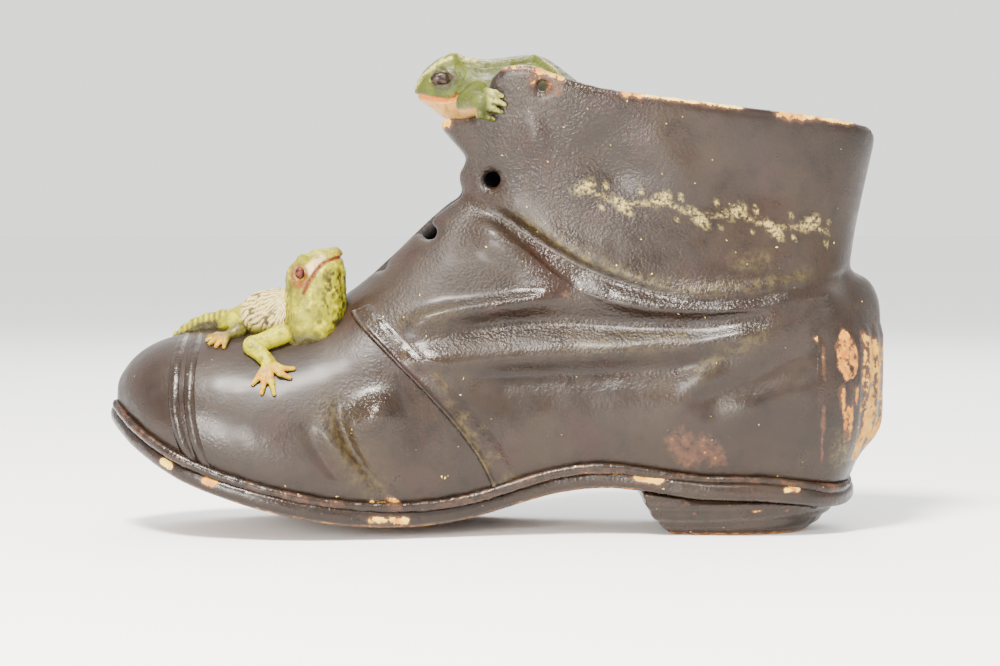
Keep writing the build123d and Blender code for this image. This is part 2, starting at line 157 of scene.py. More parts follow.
def normals_of(points, quads):
    tri = triangles_of(quads)
    a, b, c = points[tri[:, 0]], points[tri[:, 1]], points[tri[:, 2]]
    face_normals = np.cross(b - a, c - a)
    normals = np.zeros_like(points)
    for k in range(3):
        for axis in range(3):
            normals[:, axis] += np.bincount(tri[:, k], face_normals[:, axis], len(points))
    return normals / np.maximum(np.linalg.norm(normals, axis=1), 1e-12)[:, None]


def outward(points, quads):
    """Faces wound so that their normals point out of the solid."""
    a, b, c = (points[corner] for corner in triangles_of(quads).T)
    return quads[:, ::-1] if np.sum(a * np.cross(b, c)) < 0 else quads


def largest_part(points, quads):
    """Only the piece of the surface with the most points, so that no crumb is kept."""
    label = np.arange(len(points))
    pairs = np.vstack([quads[:, [i, (i + 1) % 4]] for i in range(4)])
    while True:
        low = label[pairs].min(axis=1)
        new = label.copy()
        np.minimum.at(new, pairs[:, 0], low)
        np.minimum.at(new, pairs[:, 1], low)
        new = new[new]
        if (new == label).all():
            break
        label = new
    roots, counts = np.unique(label, return_counts=True)
    keep = label == roots[counts.argmax()]
    index = np.cumsum(keep) - 1
    return points[keep], index[quads[keep[quads[:, 0]]]]


def mesh_field(field, origin, voxel):
    """Surface of a signed distance field as (points, quads)."""
    band = 3.0 * voxel
    grid = openvdb.FloatGrid(band)
    grid.copyFromArray(np.clip(field, -band, band).astype(np.float32))
    grid.transform = openvdb.createLinearTransform(voxelSize=voxel)
    points, _, quads = grid.convertToPolygons(isovalue=0.0, adaptivity=0.0)
    points, quads = largest_part(points.astype(float) + origin, quads.astype(np.int64))
    return points, outward(points, quads)


def blur(field, passes):
    for _ in range(passes):
        for axis in range(3):
            field = 0.5 * field + 0.25 * (np.roll(field, 1, axis) + np.roll(field, -1, axis))
    return field


def joined(meshes):
    """Several (points, faces) as one."""
    starts = np.cumsum([0] + [len(points) for points, _ in meshes])
    faces = [faces + start for (_, faces), start in zip(meshes, starts)]
    return np.vstack([points for points, _ in meshes]), np.vstack(faces)


def read(items, name, dtype=float):
    """A property of three values of each of a mesh's items."""
    values = np.empty(len(items) * 3, dtype)
    items.foreach_get(name, values)
    return values.reshape(-1, 3)


def cad_field(nodes, voxel, seam=None):
    """Distance field of CAD nodes taken as one solid, and the grid's origin.  Faces that
    lie on the plane y = seam are left out, so that two halves become one."""
    meshes = []
    for node in nodes:
        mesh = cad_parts[node].data
        mesh.calc_loop_triangles()
        co = read(mesh.vertices, "co") / MM
        tri = read(mesh.loop_triangles, "vertices", np.int32)
        if seam is not None:
            on_seam = np.abs(co[:, 1] - seam) < 0.01
            tri = tri[~on_seam[tri].all(axis=1)]
        meshes.append((co, tri))
    points, faces = joined(meshes)
    transform = openvdb.createLinearTransform(voxelSize=voxel)
    grid = openvdb.FloatGrid.createLevelSetFromPolygons(
        points.astype(np.float32), triangles=faces.astype(np.uint32), transform=transform,
        halfWidth=3.0
    )
    low = np.floor(points.min(0) / voxel).astype(int) - GRID_MARGIN
    high = np.ceil(points.max(0) / voxel).astype(int) + GRID_MARGIN
    field = np.zeros(high - low, np.float32)
    grid.copyToArray(field, ijk=tuple(int(v) for v in low))
    return field, low * voxel


# ---- Sculpting primitives ----
class Clay:
    """A smooth union of rolled cones and balls, evaluated on a grid."""

    def __init__(self, low, high, voxel):
        self.origin, self.voxel = np.array(low, float), voxel
        counts = np.ceil((np.array(high) - self.origin) / voxel).astype(int) + 1
        axes = [self.origin[i] + voxel * np.arange(counts[i]) for i in range(3)]
        grid = np.meshgrid(*axes, indexing="ij", sparse=True)
        self.place = [axis.astype(np.float32) for axis in grid]
        self.field = np.full(counts, 50, np.float32)

    def cone(self, p, r, q, s, squash=(1.0, 1.0, 1.0)):
        """Distance to a roll of clay from p to q with radii r and s, stretched by squash."""
        c = [(v - p[i]) / squash[i] for i, v in enumerate(self.place)]
        d = [(q[i] - p[i]) / squash[i] for i in range(3)]
        length = max(sum(v * v for v in d), 1e-6)
        t = np.clip((c[0] * d[0] + c[1] * d[1] + c[2] * d[2]) / length, 0, 1)
        gap = np.sqrt(sum((c[i] - t * d[i]) ** 2 for i in range(3)))
        return (gap - (r + t * (s - r))) * min(squash)

    def ball(self, p, r, squash=(1.0, 1.0, 1.0)):
        return self.cone(p, r, (p[0] + 1e-3, p[1], p[2]), r, squash)

    def add(self, other, blend):
        h = np.clip(0.5 + 0.5 * (self.field - other) / blend, 0, 1)
        self.field = self.field * (1 - h) + other * h - blend * h * (1 - h)

    def cut(self, other, blend):
        h = np.clip(0.5 - 0.5 * (self.field + other) / blend, 0, 1)
        self.field = self.field * (1 - h) - other * h + blend * h * (1 - h)

    def path(self, joints, blend=0.8, squash=(1.0, 1.0, 1.0)):
        """A limb through joints (x, y, z, radius)."""
        for (*p, r), (*q, s) in zip(joints, joints[1:]):
            self.add(self.cone(p, r, q, s, squash), blend)

    def mesh(self, name, dent):
        """The dented surface as an object, with its points and their normals."""
        points, quads = mesh_field(self.field, self.origin, self.voxel)
        points = points + normals_of(points, quads) * dent(points)[:, None]
        return make_mesh(name, points, quads), points, normals_of(points, quads)


# ---- Materials ----
class Nodes:
    """Short ways to build a material's node tree."""

    def __init__(self, name):
        self.material = bpy.data.materials.new(name)
        self.material.use_nodes = True
        self.tree = self.material.node_tree
        self.tree.nodes.clear()
        self.shader = self.tree.nodes.new("ShaderNodeBsdfPrincipled")
        out = self.tree.nodes.new("ShaderNodeOutputMaterial")
        self.link(self.shader.outputs["BSDF"], out.inputs["Surface"])
        self.place = self.tree.nodes.new("ShaderNodeTexCoord").outputs["Object"]

    def link(self, source, target):
        self.tree.links.new(source, target)

    def put(self, value, socket):
        """Links an output to the socket, or sets the socket to a number or a colour."""
        if hasattr(value, "is_output"):
            self.link(value, socket)
        else:
            socket.default_value = (*value, 1.0) if isinstance(value, tuple) else value

    def node(self, kind, inputs, output=0, **settings):
        node = self.tree.nodes.new("ShaderNode" + kind)
        for name, value in settings.items():
            setattr(node, name, value)
        for socket, value in inputs.items():
            self.put(value, node.inputs[socket])
        return node.outputs[output]

    def noise(self, mm, detail=3.0, rough=0.55):
        """Noise from 0 to 1 with lumps about mm wide."""
        inputs = {"Vector": self.place, "Scale": 1.0 / (mm * MM), "Detail": detail, "Roughness": rough}
        return self.node("TexNoise", inputs, "Fac")

    def cells(self, mm):
        """Distance from the middle of the nearest of many cells about mm wide."""
        return self.node("TexVoronoi", {"Vector": self.place, "Scale": 1.0 / (mm * MM)}, "Distance")

    def value(self, name):
        return self.node("Attribute", {}, "Fac", attribute_name=name)

    def math(self, operation, a, b):
        return self.node("Math", {0: a, 1: b}, operation=operation)

    def times(self, a, b):
        return self.math("MULTIPLY", a, b)

    def plus(self, a, b):
        return self.math("ADD", a, b)

    def ramp(self, value, low, high, to_low=0.0, to_high=1.0):
        inputs = dict(enumerate((value, low, high, to_low, to_high)))
        return self.node("MapRange", inputs, interpolation_type="SMOOTHSTEP")

    def mix(self, factor, a, b):
        """Colour a where factor is 0 and colour b where it is 1."""
        return self.node("Mix", {0: factor, 6: a, 7: b}, 2, data_type="RGBA")

    def blend(self, factor, a, b):
        """a where factor is 0 and b where it is 1, for single values."""
        return self.node("Mix", {0: factor, 2: a, 3: b})

    def bump(self, height, mm):
        """Bump whose height of 1 stands mm proud."""
        normal = self.node("Bump", {"Strength": 1.0, "Distance": mm * MM, "Height": height}, "Normal")
        self.link(normal, self.shader.inputs["Normal"])

    def finish(self, color, roughness, **constants):
        self.put(color, self.shader.inputs["Base Color"])
        self.put(roughness, self.shader.inputs["Roughness"])
        for name, value in constants.items():
            self.shader.inputs[name.replace("_", " ")].default_value = value
        return self.material


# Linear red, green and blue.
BROWN = (0.0120, 0.0066, 0.0038)
BROWN_LIGHT = (0.0200, 0.0118, 0.0066)
BROWN_DARK = (0.0055, 0.0032, 0.0027)
RED_BROWN = (0.0200, 0.0072, 0.0050)
# Painted shade for the inside of the wall and the eyelet holes: a near-black brown.
PAINTED_INSIDE_SHADE = (0.0060, 0.0040, 0.0032)
RUBBED = (0.085, 0.034, 0.016)
CLAY = (0.32, 0.092, 0.010)
CLAY_LIGHT = (0.48, 0.220, 0.018)
CREAM = (0.70, 0.505, 0.090)
GOLD = (0.125, 0.096, 0.026)
GILT = (0.33, 0.255, 0.080)


def boot_material(name, painted=True):
    """Dark brown varnish over fired clay, chipped where the attribute wear says so."""
    n = Nodes(name)
    color = n.mix(n.ramp(n.noise(26, 3), 0.38, 0.66), BROWN, BROWN_LIGHT)
    color = n.mix(n.ramp(n.noise(15, 3), 0.50, 0.72, 0.0, 0.6), color, RED_BROWN)
    color = n.mix(n.ramp(n.noise(5, 4, 0.6), 0.45, 0.75, 0.0, 0.6), color, BROWN_DARK)
    dust = n.value("dust")
    dust_mask = n.times(dust, n.ramp(n.noise(2.2, 5, 0.7), 0.40, 0.66, 0.05, 0.95))
    color = n.mix(dust_mask, color, GOLD)
    wear = n.value("wear")
    grit = n.noise(2.2, 6, 0.68)
    worn = n.plus(wear, n.times(grit, 0.75))
    chip = n.ramp(worn, 0.90, 0.94)
    specks = n.ramp(n.noise(1.7, 2, 0.5), 0.755, 0.775)
    clay = n.mix(n.ramp(n.noise(2.5, 5, 0.65), 0.35, 0.65), CLAY, CLAY_LIGHT)
    pale = n.value("pale")
    clay = n.mix(n.times(pale, n.ramp(n.noise(3, 4), 0.32, 0.56)), clay, CREAM)
    color = n.mix(n.ramp(worn, 0.64, 0.92, 0.0, 0.7), color, RUBBED)
    color = n.mix(specks, color, CREAM)
    color = n.mix(chip, color, clay)
    exposed = n.math("MAXIMUM", chip, specks)
    if painted:
        flaked = n.ramp(n.noise(1.1, 5, 0.7), 0.42, 0.60)
        color = n.mix(n.times(n.value("gilt"), flaked), color, GILT)
    # Painted shade: the inside of the wall and the eyelet holes turn near black, the more so the deeper they
    # lie.
    shade = n.value("shade")
    color = n.mix(shade, color, PAINTED_INSIDE_SHADE)
    gloss = n.plus(n.value("gloss"), n.ramp(n.noise(7, 4), 0.3, 0.7, -0.18, 0.18))
    rough = n.ramp(gloss, 0.0, 1.0, 0.52, 0.18)
    rough = n.blend(dust_mask, rough, 0.6)
    rough = n.blend(exposed, rough, 0.9)
    rough = n.blend(shade, rough, 0.8)
    grain = n.plus(n.times(n.value("grain"), 0.8), 0.22)
    crinkle = n.times(n.ramp(n.noise(0.85, 2, 0.5), 0.30, 0.70), grain)
    height = n.plus(crinkle, n.times(n.noise(2.6, 3, 0.5), 0.6))
    height = n.math("SUBTRACT", height, n.times(exposed, 0.8))
    n.bump(height, 0.14)
    return n.finish(color, rough, Specular_IOR_Level=0.26, Coat_Weight=0.12, Coat_Roughness=0.22)


def animal_material(name, base, dark, light, belly, red, scale_mm):
    """Cold paint on modelled clay: base colour, darker strokes, light brush marks."""
    n = Nodes(name)
    color = n.mix(n.ramp(n.noise(5, 3), 0.35, 0.7), base, tuple(0.6 * v for v in base))
    # The belly attribute paints the frog's tan throat and the lizard's brown hind legs, and painted shade
    # along the lizard's lower flanks and chest.
    for name, mm, detail, low, high, paint in (
        ("light", 1.2, 3, 0.3, 0.6, light), ("cream", 1.6, 3, 0.2, 0.5, (0.52, 0.40, 0.17)),
        ("toe", 1.6, 3, 0.3, 0.6, (0.36, 0.150, 0.006)), ("belly", 2, 3, 0.15, 0.5, belly),
        ("dark", 1.4, 3, 0.25, 0.55, dark), ("red", 1.2, 2, 0.2, 0.5, red),
    ):
        color = n.mix(n.times(n.value(name), n.ramp(n.noise(mm, detail), low, high)), color, paint)
    specks = n.ramp(n.noise(0.9, 2, 0.5), 0.66, 0.74, 0.0, 0.6)
    color = n.mix(specks, color, tuple(0.35 * v for v in base))
    n.bump(n.plus(n.times(n.cells(scale_mm), -0.7), n.noise(0.6, 3)), 0.16)
    rough = n.ramp(n.noise(3, 3), 0.3, 0.7, 0.34, 0.54)
    return n.finish(color, rough, Specular_IOR_Level=0.22, Coat_Weight=0.05, Coat_Roughness=0.2)


def eye_material(name, color, glint):
    n = Nodes(name)
    mix = n.mix(n.ramp(n.noise(1.6, 2), 0.45, 0.6), color, glint)
    return n.finish(mix, n.ramp(n.noise(1, 2), 0.3, 0.7, 0.25, 0.35), Specular_IOR_Level=0.10,
                    Coat_Weight=0.03, Coat_Roughness=0.08)


# What the pieces of each slot are covered with.
MATERIALS = {
    "boot_varnish": boot_material("brown_varnish"),
    "sole_varnish": boot_material("sole_varnish", painted=False),
    "frog_paint": animal_material(
        "frog_paint", (0.058, 0.071, 0.006), (0.020, 0.018, 0.007), (0.40, 0.37, 0.11),
        (0.46, 0.24, 0.055), (0.44, 0.13, 0.018), 1.3),
    # The lizard's dark grey-green belly colour is painted shade under its body.
    "lizard_paint": animal_material(
        "lizard_paint", (0.215, 0.203, 0.0), (0.030, 0.021, 0.004), (0.52, 0.47, 0.0),
        (0.036, 0.030, 0.014), (0.105, 0.018, 0.008), 1.1),
    "frog_eye_paint": eye_material("frog_eye_paint", (0.010, 0.007, 0.006), (0.05, 0.03, 0.02)),
    "lizard_eye_paint": eye_material("lizard_eye_paint", (0.10, 0.022, 0.010), (0.02, 0.01, 0.008)),
}


# How crinkled and how shiny the varnish is on every piece but the upper.
EVEN = {"grain": 0.2, "gloss": 0.6}


def dress(obj, slot, *nodes, **painted):
    """Finishes a piece: what its material reads at each point, from 0 to 1 and nought where
    nothing is given, its material, the CAD nodes it stands for (by default the one that it
    is named after), its slot and its body."""
    for name, values in painted.items():
        data = obj.data.attributes.new(name, "FLOAT", "POINT").data
        data.foreach_set("value", np.clip(np.broadcast_to(values, len(data)), 0, 1).astype(np.float32))
    obj.data.materials.append(MATERIALS[slot])
    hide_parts(*(nodes or [obj.name.removesuffix("_look")]))
    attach(obj, "root")


# ---- The boot's upper ----
UPPER_VOXEL = 1.15
FOLD_END = 11.0  # over which a fold dies away at either end
FAR_SHIFT = 2.0  # by which the folds of the unseen side lie nearer the toe
FAR_HEIGHT = 0.6  # their height against those of the seen side
UPPER_NODES = ("upper_left_half", "upper_right_half")
seam_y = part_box("upper_left_half")[1].y / MM

# Raised folds (height > 0) and grooves (height < 0) of the leather, seen from the side:
# points (x, z) of the middle line, half width above it, half width below it, height.
FOLDS = (
    # the shaft's lower lip, the trough under it and the swollen edge of the foot
    (((-4, 99.5), (4, 95.6), (12.8, 89.8), (24.4, 81.3), (33, 77.4), (42, 74.4), (56, 71), (71, 71.3),
      (88, 74.4), (106, 79)), 4.5, 1.0, 1.0),
    (((-4, 96.5), (4, 91.5), (14, 84.6), (24.4, 79), (34, 75), (46, 71), (58, 68.9), (71, 69.2), (86, 71.8)),
     1.5, 2, -1.2),
    (((-9, 93), (-5, 89.6), (3, 84), (11, 78.4), (22, 72.6), (33, 69.2), (46, 67), (62, 66.4), (79, 67.4),
      (94, 70), (104, 72.5)), 4.4, 5.2, 4.2),
    # the second fold, and the trough under it
    (((-30, 60), (-14, 65), (1.4, 67), (10.4, 68.4), (22, 68.6)), 3, 3, 2.8),
    (((-16, 61), (6, 63.4), (24, 63.4), (42, 62.4), (62, 61.6), (82, 63)), 2.6, 3.6, -2),
    # the third, and the long shadow under it
    (((-30, 52), (-14, 51.4), (1, 52.4), (18, 53.4), (36, 54.2), (56, 55.8), (80, 61.6)), 5, 2.8, 2.5),
    (((-8, 46.4), (18.6, 47.6), (36, 48.4), (56, 49.6), (76, 54)), 3, 6, -2.2),
    # folds rising to the back of the heel
    (((50, 43.6), (62, 49.6), (74, 56.6), (86, 62.6), (97, 67)), 4.4, 5, 1.9),
    (((54, 37.6), (70, 44), (85, 50.6), (97, 56)), 3.2, 5, -1.6),
    (((64, 35), (80, 42), (94, 49)), 4, 6, 1.1),
    # the swelling behind the strap
    (((-21, 55), (-14, 48), (-8, 41.5)), 6, 6, 1.8),
    # creases over the ball of the foot
    (((-44, 29.5), (-35.5, 35.5), (-25, 41.5)), 5, 5.5, 4.8),
    (((-40, 24), (-32, 28), (-26, 34)), 6, 8, 1.0),
    (((-46.5, 42.5), (-45.2, 35), (-41.2, 25.6), (-36, 18.2), (-30, 12)), 1.3, 1.3, -2),
    (((-53, 37), (-49, 30.6), (-44.4, 23.8), (-38.5, 17)), 2, 1.6, 1.6),
    (((-56, 34.5), (-52.6, 27.5), (-48, 20.6), (-42, 14)), 1.3, 1.3, -1.0),
    # soft dents in the shaft
    (((22, 118), (34, 108), (40, 96)), 8, 8, -1.4),
    (((62, 114), (74, 102), (80, 90)), 9, 9, -1.0),
    (((6, 126), (12, 116), (14, 106)), 3.5, 6, 1.0),
    (((40, 122), (52, 108), (56, 94)), 6, 6, 0.8),
)
# Where the clay shows: side, line (x, z), radius, strength, how pale.
CHIPS = (
    (-1, ((38, 130.2), (41, 129.8)), 2.8, 0.66, 0.1),
    (-1, ((44, 129.7), (58, 127.9), (70, 126.3)), 2.3, 0.73, 1.0),
    (-1, ((83, 124.4), (89, 123.6)), 2.9, 0.70, 0.2), (-1, ((92, 123.7), (103, 122.1)), 2.3, 0.71, 0.9),
    (-1, ((2, 137), (9, 136.8)), 1.6, 0.56, 0.4), (-1, ((12, 135.6), (19, 133.6)), 1.5, 0.6, 0.4),
    (-1, ((11, 133), (17, 130)), 2.4, 0.5, 0.1), (-1, ((-17, 121.4), (-15, 121)), 2.2, 0.66, 0.4),
    (-1, ((20, 71), (20.5, 70.5)), 1.0, 0.55, 0.9), (-1, ((93, 58), (95, 57)), 1.2, 0.66, 0.5),
    (-1, ((53, 28), (56, 24)), 4.8, 0.44, 0.0), (-1, ((60, 28), (64, 23)), 3.6, 0.42, 0.0),
    (-1, ((-36, 10.5), (-28, 9)), 1.6, 0.62, 0.8), (-1, ((-31, 12), (-29, 11)), 1.2, 0.6, 0.9),
    (1, ((26, 132), (38, 130)), 2.6, 0.7, 0.6), (1, ((70, 126), (84, 124)), 3, 0.7, 0.3),
    (1, ((96, 122.5), (104, 121.6)), 2.6, 0.66, 0.7), (1, ((-62, 42), (-58, 38)), 2, 0.55, 0.2),
    (1, ((10, 42), (16, 38)), 3, 0.5, 0.1),
)
# Gold powder rubbed into the creases: line (x, z), half width, strength.
DUST = (
    (((4, 96), (24, 82), (42, 75.4), (56, 72.4), (71, 72.8), (90, 76.5)), 2, 0.42),
    (((18, 85.6), (30, 79), (46, 73.6), (58, 71.4)), 0.7, 1.0),
    (((24, 56.5), (40, 57), (54, 58.5)), 3, 0.4),
    (((57, 48), (66, 53.5), (76, 59)), 2.4, 0.45),
    (((-48, 38), (-44, 28), (-36, 16)), 4.5, 0.4),
    (((-28, 63), (-14, 66)), 3, 0.25),
    (((70, 80), (78, 81)), 2.6, 0.45),
    (((98, 30), (100, 22)), 3, 0.5),
)


def centre_line(points):
    """The nearest point of the boot's inner axis, for telling inside from outside."""
    up = smooth(52, 78, points[:, 2])
    foot_x = np.clip(points[:, 0], -88, 88)
    shaft_x = np.clip(points[:, 0], 22, 82)
    x = foot_x * (1 - up) + shaft_x * up
    z = 34 * (1 - up) + points[:, 2] * up
    return np.column_stack([x, np.zeros(len(points)), z])


def outer_mask(points, normals):
    """1 on the outside of the wall and 0 on the inside."""
    away = points - centre_line(points)
    away /= np.maximum(np.linalg.norm(away, axis=1), 1e-6)[:, None]
    return smooth(-0.05, 0.35, np.einsum("ij,ij->i", away, normals))


def upper_relief(points):
    """Height of the sculpted leather over the plain blank, in mm."""
    x, y, z = points.T
    x = np.where(y > 0, x + FAR_SHIFT, x)
    height = 0.25 * noise(points, 22) + 0.12 * noise(points, 7)
    wave = 1.0 + 0.22 * noise(points + 31, 9, 1)
    for line, above, below, amount in FOLDS:
        d, along, side = line_distance(x, z, line)
        half_width = np.where(side > 0, above, below)
        reach = min(0.5, FOLD_END / sum(math.dist(p, q) for p, q in zip(line, line[1:])))
        fade = smooth(0.0, reach, along) * smooth(1.0, 1.0 - reach, along)
        height += amount * wave * fade * bell(d, 0, half_width)
    return height * (1.0 - (1.0 - FAR_HEIGHT) * smooth(-4, 4, y))


def chips_at(points, table):
    """How worn and how pale each point is, from 0 to 1, by a table of chips."""
    wear, pale = np.zeros(len(points)), np.zeros(len(points))
    for side, line, radius, strength, paleness in table:
        d, _, _ = line_distance(points[:, 0], points[:, 2], line)
        here = smooth(-5, 5, side * points[:, 1])
        wear = np.maximum(wear, strength * smooth(radius * 2, radius * 0.3, d) * here)
        pale = np.maximum(pale, paleness * smooth(radius * 2, radius * 0.8, d) * here)
    return wear, pale


def make_upper():
    field, origin = cad_field(UPPER_NODES, UPPER_VOXEL, seam_y)
    points, quads = mesh_field(blur(field, 2), origin, UPPER_VOXEL)
    normals = normals_of(points, quads)
    mask = outer_mask(points, normals)
    foot_fade = smooth(8, 16, points[:, 2]) * 0.8 + 0.2
    points = points + normals * (upper_relief(points) * mask * foot_fade)[:, None]
    obj = make_mesh("boot_upper", points, quads)
    x, _, z = points.T
    wear, pale = chips_at(points, CHIPS)
    rim = smooth(0.35, 0.8, normals_of(points, quads)[:, 2]) * smooth(112, 118, z)
    dust = np.zeros(len(points))
    for line, width, amount in DUST:
        d, _, _ = line_distance(x, z, line)
        dust = np.maximum(dust, 0.7 * amount * bell(d, 0, width) * mask)
    # shade is painted shade: the inside of the wall darkens towards the bottom of the shaft.
    dress(
        obj, "boot_varnish", *UPPER_NODES, wear=np.maximum(wear, 0.36 * rim) * (0.4 + 0.6 * mask), pale=pale,
        dust=dust, gilt=garland(points) * mask, shade=(1 - mask) * smooth(133, 118, z + 0.1 * x),
        grain=grain_of(points), gloss=gloss_of(points))
    return points, quads


def grain_of(points):
    """How crinkled the varnish is: most over the folds and the front of the shaft."""
    x, _, z = points.T
    folds = bell(z, 64, 13) * smooth(-40, -20, x) * smooth(105, 60, x)
    shaft = smooth(84, 94, z) * smooth(62, 20, x)
    ball = np.exp(-(((x + 38) / 13) ** 2 + ((z - 36) / 11) ** 2))
    instep = smooth(-30, -10, x) * smooth(30, 10, x) * smooth(46, 60, z)
    return most(folds, shaft, ball, instep) * (0.75 + 0.25 * noise(points, 14))


PLAIN_GLOSS = 0.52
# Where the varnish shines or is dull: point (x, z), half width, half height, change.
GLOSS_SPOTS = (
    (-70, 46, 24, 14, -0.45), (-24, 76, 12, 16, -0.35),
    (-35, 37, 8, 6, 0.6), (-10, 78, 15, 15, -0.62), (-60, 50, 22, 12, -0.45), (-20, 52, 9, 6, 0.3),
    (13, 79, 8, 8, 0.5), (44, 67, 34, 5, 0.35), (6, 68, 16, 4, 0.4), (96, 71, 12, 5, 0.3),
    (20, 108, 22, 18, 0.3), (-87, 36, 6, 11, 0.4), (30, 30, 60, 10, -0.12), (60, 104, 34, 14, -0.05),
)


def gloss_of(points):
    x, _, z = points.T
    gloss = np.full(len(points), PLAIN_GLOSS)
    for at_x, at_z, wide, high, change in GLOSS_SPOTS:
        gloss += change * np.exp(-(((x - at_x) / wide) ** 2) - ((z - at_z) / high) ** 2)
    return gloss


def garland(points):
    """A worn painted row of leaves and dots round the shaft."""
    x, _, z = points.T
    base = 101.0 - 0.16 * (x - 20)
    pitch = 11.0
    u = (x + 200) / pitch
    cell = np.floor(u)
    f = (u - cell - 0.5) * pitch
    up = np.where(cell % 2 == 0, 1.0, -1.0)
    v = (z - base) * up
    a, b = f * 0.78 + (v - 1.8) * 0.62, -f * 0.62 + (v - 1.8) * 0.78
    leaf = smooth(1.25, 0.75, np.hypot(a / 3.6, b / 1.5))
    stem = smooth(0.9, 0.4, np.abs(z - base - 0.9 * np.sin(u * math.pi)))
    dot = smooth(1.3, 0.8, np.hypot(np.abs(f) - pitch / 2, v + 3.2))
    ends = smooth(20, 24, x) * smooth(99, 95, x)
    return np.maximum(np.maximum(leaf, 0.7 * stem), dot) * ends


upper_points, upper_quads = make_upper()
upper_tree = BVHTree.FromPolygons(upper_points.tolist(), upper_quads.tolist())


START = 160.0  # far enough from the boot for a ray to start outside it


def hit(origin, direction):
    """First point and normal of the upper's surface along a ray, in mm."""
    place, normal, _, _ = upper_tree.ray_cast(Vector(origin), Vector(direction).normalized())
    return None if place is None else (np.array(place), np.array(normal))


def from_above(x, y, lift):
    """A point on the vamp under (x, y), moved lift outwards."""
    place, normal = hit((x, y, START), (0, 0, -1))
    return place + normal * lift


def from_side(x, z, side, lift):
    """A point on the upper's side at (x, z), moved lift outwards."""
    place, normal = hit((x, side * START, z), (0, -side, 0))
    return place + normal * lift


# ---- Strips luted onto the upper ----
def strip(name, rows, profile, depth=0.8):
    """A strip from rows of (surface point, normal): profile gives each row's heights,
    and the underside lies depth below the surface."""
    rings = []
    for k, row in enumerate(rows):
        top = [p + n * h for (p, n), h in zip(row, profile(k, len(rows)))]
        rings.append(top + [p - n * depth for p, n in reversed(row)])
    points = np.vstack(rings)
    index = np.arange(len(points)).reshape(len(rings), -1)
    turned = np.roll(index, -1, axis=1)
    faces = [np.stack([index[:-1], turned[:-1], turned[1:], index[1:]], axis=-1).reshape(-1, 4)]
    width = len(rows[0])
    for ring, step in ((index[0], -1), (index[-1], 1)):
        top, low = ring[:width], ring[:width - 1:-1]
        faces.append(np.column_stack([top[:-1], top[1:], low[1:], low[:-1]])[:, ::step])
    return make_mesh(name, points, outward(points, np.vstack(faces))), points


def fan_point(x_of_z, angle, side, centre_z):
    """Surface point of the curve x = x_of_z(z) seen at an angle from straight up."""
    direction = np.array([0.0, side * math.sin(angle), math.cos(angle)])
    z = centre_z + 20 * math.cos(angle)
    found = None
    for _ in range(5):
        axis = np.array([x_of_z(z), 0.0, centre_z])
        found = hit(axis + direction * START, -direction)
        if found is None:
            return None
        z = found[0][2]
    return found


def band_rows(curve, offsets, angles, side, centre_z):
    """Rows across a band whose middle line is x as a smooth function of z through curve."""
    fit = np.polyfit([z for _, z in curve], [x for x, _ in curve], 3)
    rows = []
    for angle in angles:
        facing = side if angle >= 0 else -side
        row = [fan_point(lambda z, o=o: np.polyval(fit, z) + o, abs(angle), facing, centre_z)
               for o in offsets]
        if all(found is not None for found in row):
            rows.append(row)
    return rows


ROLLS = {
    "toe_cap_front_roll": ((-91.5, 66), (-93.2, 50), (-93.6, 40), (-91, 30), (-85, 17)),
    "toe_cap_rear_roll": ((-87, 66), (-88.6, 50), (-89, 40), (-86.2, 28), (-81, 15)),
}
STRAP = ((-42, 69), (-37, 62.3), (-28.3, 53.6), (-16.1, 44.3), (-11.2, 38.2), (-4.5, 27.8), (1.6, 18.2),
         (5, 11))


def make_rolls():
    offsets = np.linspace(-1.7, 1.7, 9)
    angles = np.radians(np.linspace(-112, 112, 150))

    def profile(k, count):
        lumps = 1.0 + 0.12 * math.sin(k * 0.45) + 0.08 * math.sin(k * 1.3)
        end = min(1.0, k / 4, (count - 1 - k) / 4)
        low = 0.35 + 0.65 * min(1.0, abs(2 * k / (count - 1) - 1) * 1.6)
        return [(0.85 * low * lumps * math.cos(o / 1.8 * math.pi / 2) - 0.12) * end for o in offsets]

    for name, line in ROLLS.items():
        obj, points = strip(name, band_rows(line, offsets, angles, 1.0, 26), profile)
        near = (points[:, 1] < 0) & (np.abs(points[:, 2] - 40) < 12)
        wear = np.where(near, 0.22, 0.10) + 0.06 * noise(points, 4)
        dress(obj, "boot_varnish", wear=wear, pale=0.2, **EVEN)


def make_straps():
    offsets = np.linspace(-5, 5, 23)
    angles = np.radians(np.linspace(22, 112, 150))

    def profile(k, count):
        """A bead along the front edge, a flat band, and a row of stitches near the back."""
        end = min(1.0, k / 3, (count - 1 - k) / 3)
        bead = 0.75 * bell(offsets, -4.1, 0.8)
        flat = 0.55 * np.minimum(1.0, (5.0 - offsets) / 3.5) * np.minimum(1.0, (offsets + 5) / 0.5)
        stitch = 0.22 * bell(offsets, 2.4, 0.5) * max(0.0, math.sin(k * 0.9))
        return (bead + flat + stitch) * end - 0.10

    for word, side in SIDES.items():
        name = f"quarter_strap_{word}"
        obj, points = strip(name, band_rows(STRAP, offsets, angles, side, 24), profile)
        dots = noise(points, 3, 1)
        dress(obj, "boot_varnish", wear=0.12 + 0.16 * dots, pale=0.6, dust=dots * 0.5, **EVEN)


STAY_TURN = 92.0  # x of the upright axis that the stay is wrapped about
STAY_HALF_ANGLE = 88.0


